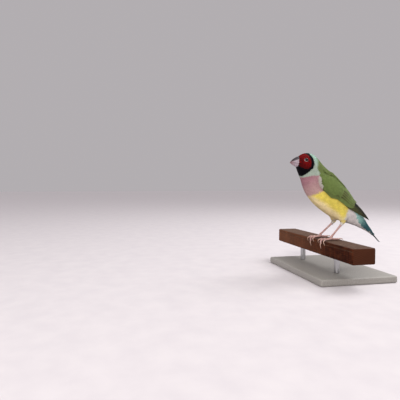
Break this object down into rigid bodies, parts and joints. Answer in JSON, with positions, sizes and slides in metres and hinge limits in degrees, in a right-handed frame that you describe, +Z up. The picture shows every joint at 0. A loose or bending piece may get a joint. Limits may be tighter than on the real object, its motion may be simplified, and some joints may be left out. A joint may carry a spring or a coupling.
{
  "type": "gouldian finch",
  "caption": "Life-size still model of a gouldian finch hen gripping a cut length of square wooden bar, on a plain display stand.",
  "frame": {"origin": "centre of the stand base's underside, on the floor", "axes": "+Z up, -Y the way the bird faces, +X the bird's left side and along the bar"},
  "size_m": [0.142, 0.0925, 0.1123],
  "materials": {
    "head_plumage": "soft short feathers, crimson face with a black border",
    "neck_plumage": "soft feathers, black bib, turquoise band and green nape",
    "torso_plumage": "soft feathers, mauve breast, yellow belly and green back",
    "wing_plumage": "matte feather vanes, green with dark brown flight feathers",
    "tail_plumage": "matte feather vanes, turquoise coverts over a black tail",
    "thigh_plumage": "soft yellow feathers",
    "eye": "glossy, near black",
    "bill_horn": "satin horn, pale with a pink tip",
    "claw_horn": "satin horn",
    "leg_skin": "pink scaled skin",
    "bar_wood": "worn, stained red-brown",
    "stand_base": "matte stone grey",
    "stand_rod": "brushed"
  },
  "bodies": {
    "root": {"head": "head_plumage", "neck": "neck_plumage", "torso": "torso_plumage", "wing_left": "wing_plumage", "wing_right": "wing_plumage", "tail": "tail_plumage", "thigh_left": "thigh_plumage", "thigh_right": "thigh_plumage", "eye_left": "eye", "eye_right": "eye", "bill_upper": "bill_horn", "bill_lower": "bill_horn", "tarsus_left": "leg_skin", "foot_left": "leg_skin", "claw_left_inner": "claw_horn", "claw_left_middle": "claw_horn", "claw_left_outer": "claw_horn", "claw_left_hind": "claw_horn", "tarsus_right": "leg_skin", "foot_right": "leg_skin", "claw_right_inner": "claw_horn", "claw_right_middle": "claw_horn", "claw_right_outer": "claw_horn", "claw_right_hind": "claw_horn", "perch_bar": "bar_wood", "stand_base": "stand_base", "stand_rod_1": "stand_rod", "stand_rod_2": "stand_rod"}
  },
  "joints": []
}
